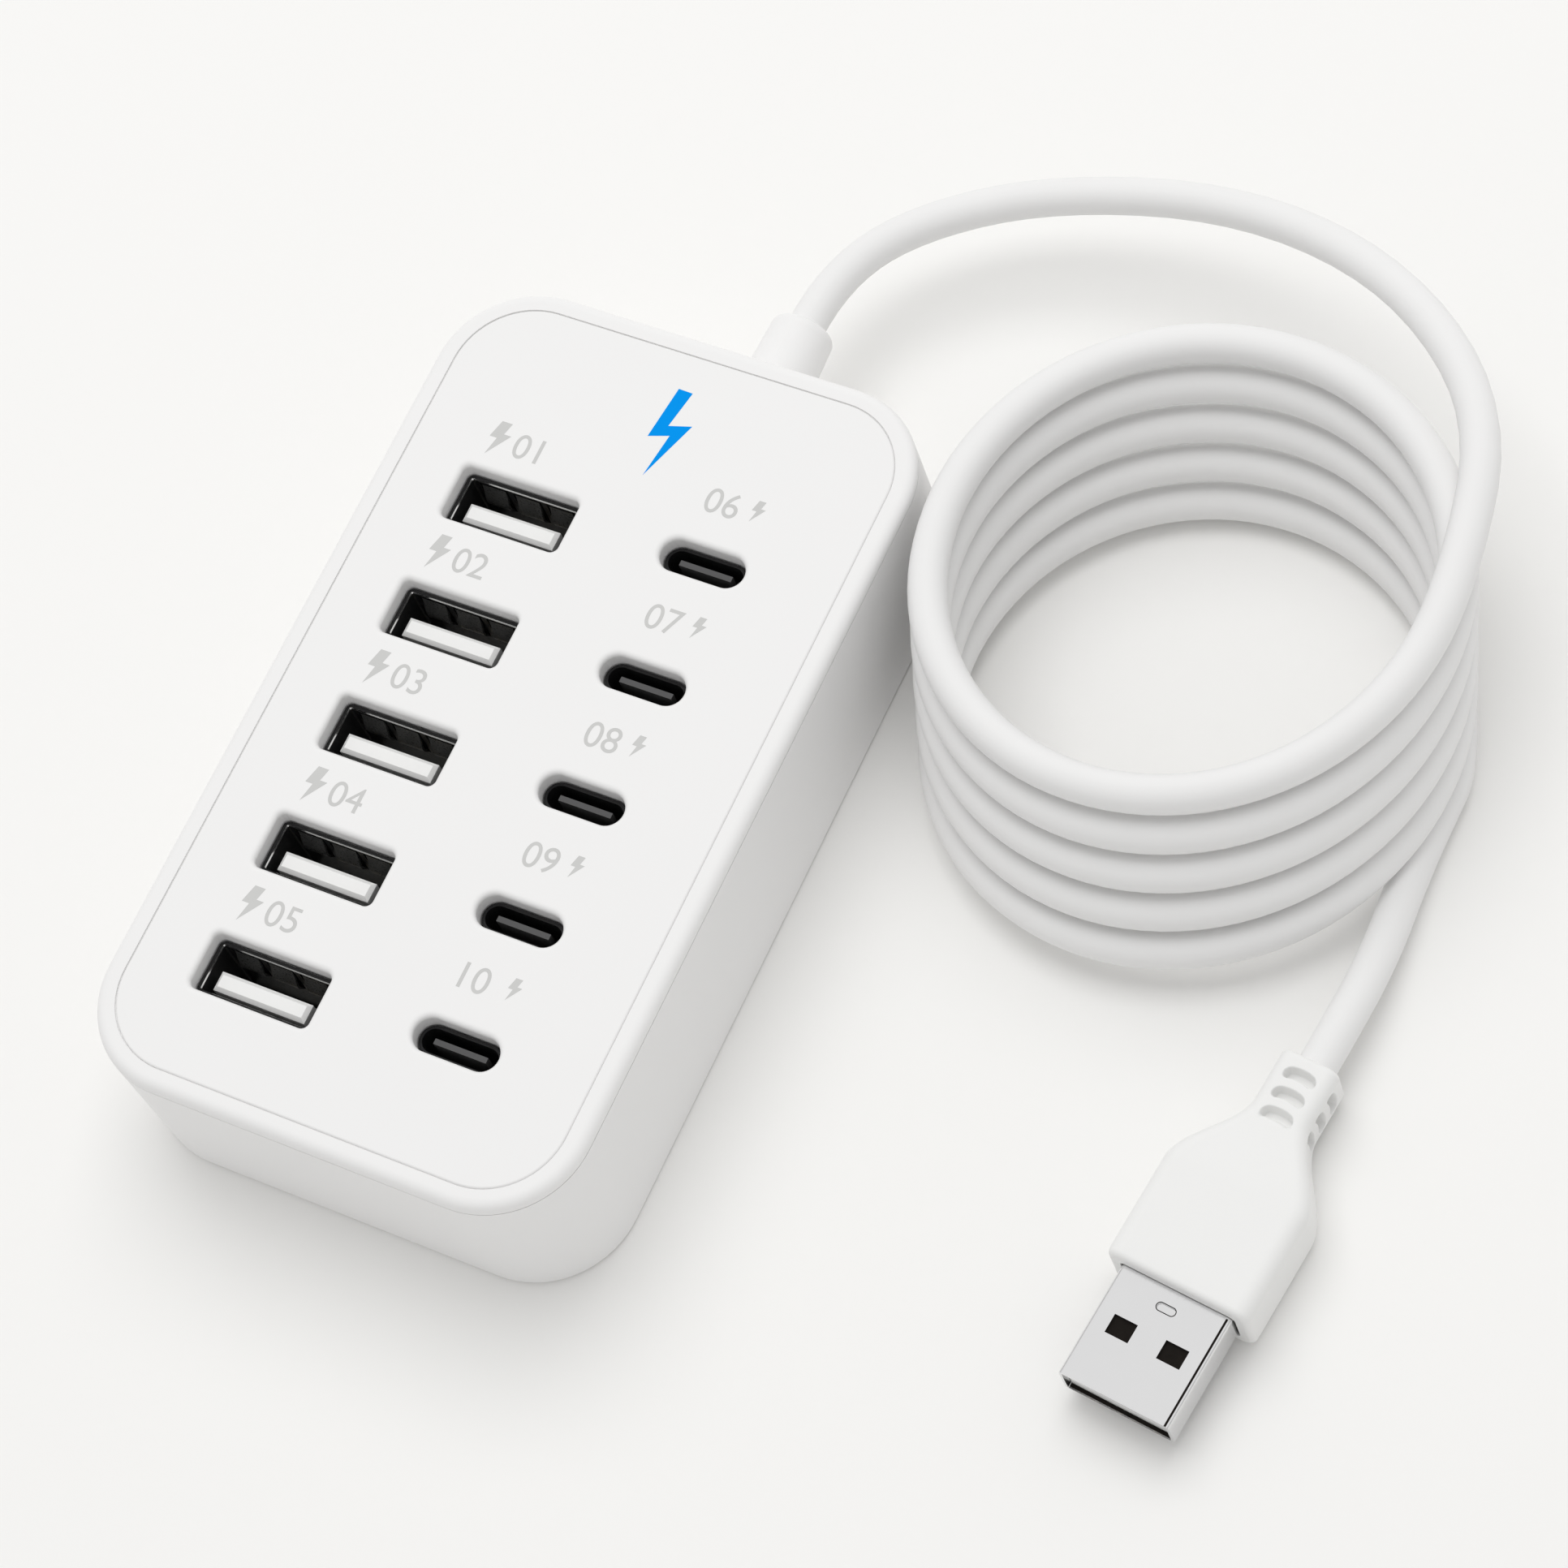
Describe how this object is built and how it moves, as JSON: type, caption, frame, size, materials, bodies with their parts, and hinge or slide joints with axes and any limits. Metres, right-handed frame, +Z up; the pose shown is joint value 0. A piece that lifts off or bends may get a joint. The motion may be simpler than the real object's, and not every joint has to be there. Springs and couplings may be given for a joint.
{
  "type": "multi port desktop charger",
  "caption": "White flat desktop charger with a column of wide and a column of narrow serial bus sockets, and a coiled cable that ends in a plug.",
  "frame": {"origin": "middle of the base, on the surface that it stands on", "axes": "+X across the charger, +Y along it towards the cable end, +Z up through the face with the sockets"},
  "size_m": [0.1176, 0.1308, 0.0244],
  "materials": {
    "white_shell": "satin",
    "socket_black": "gloss",
    "tongue_white": "satin",
    "tongue_grey": "satin",
    "contact_metal": "satin",
    "board_green": "satin",
    "chip_black": "matte",
    "choke_grey": "matte",
    "capacitor_can": "satin",
    "screw_steel": "satin",
    "cable_white": "matte",
    "plug_white": "satin",
    "plug_metal": "polished"
  },
  "bodies": {
    "root": {"a_port_contacts_1": "contact_metal", "a_port_contacts_2": "contact_metal", "a_port_contacts_3": "contact_metal", "a_port_contacts_4": "contact_metal", "a_port_contacts_5": "contact_metal", "a_port_shell_1": "socket_black", "a_port_shell_2": "socket_black", "a_port_shell_3": "socket_black", "a_port_shell_4": "socket_black", "a_port_shell_5": "socket_black", "a_port_tongue_1": "tongue_white", "a_port_tongue_2": "tongue_white", "a_port_tongue_3": "tongue_white", "a_port_tongue_4": "tongue_white", "a_port_tongue_5": "tongue_white", "board_screws": "screw_steel", "bottom_housing": "white_shell", "c_port_shell_1": "socket_black", "c_port_shell_2": "socket_black", "c_port_shell_3": "socket_black", "c_port_shell_4": "socket_black", "c_port_shell_5": "socket_black", "c_port_tongue_1": "tongue_grey", "c_port_tongue_2": "tongue_grey", "c_port_tongue_3": "tongue_grey", "c_port_tongue_4": "tongue_grey", "c_port_tongue_5": "tongue_grey", "cable_coil": "cable_white", "cable_exit": "cable_white", "cable_sleeve": "white_shell", "cable_tail": "cable_white", "circuit_board": "board_green", "converter_chips": "chip_black", "face_panel": "white_shell", "filter_capacitors": "capacitor_can", "plug_contacts": "contact_metal", "plug_grip": "plug_white", "plug_shell": "plug_metal", "plug_tongue": "tongue_white", "power_chokes": "choke_grey", "top_cover": "white_shell"}
  },
  "joints": []
}
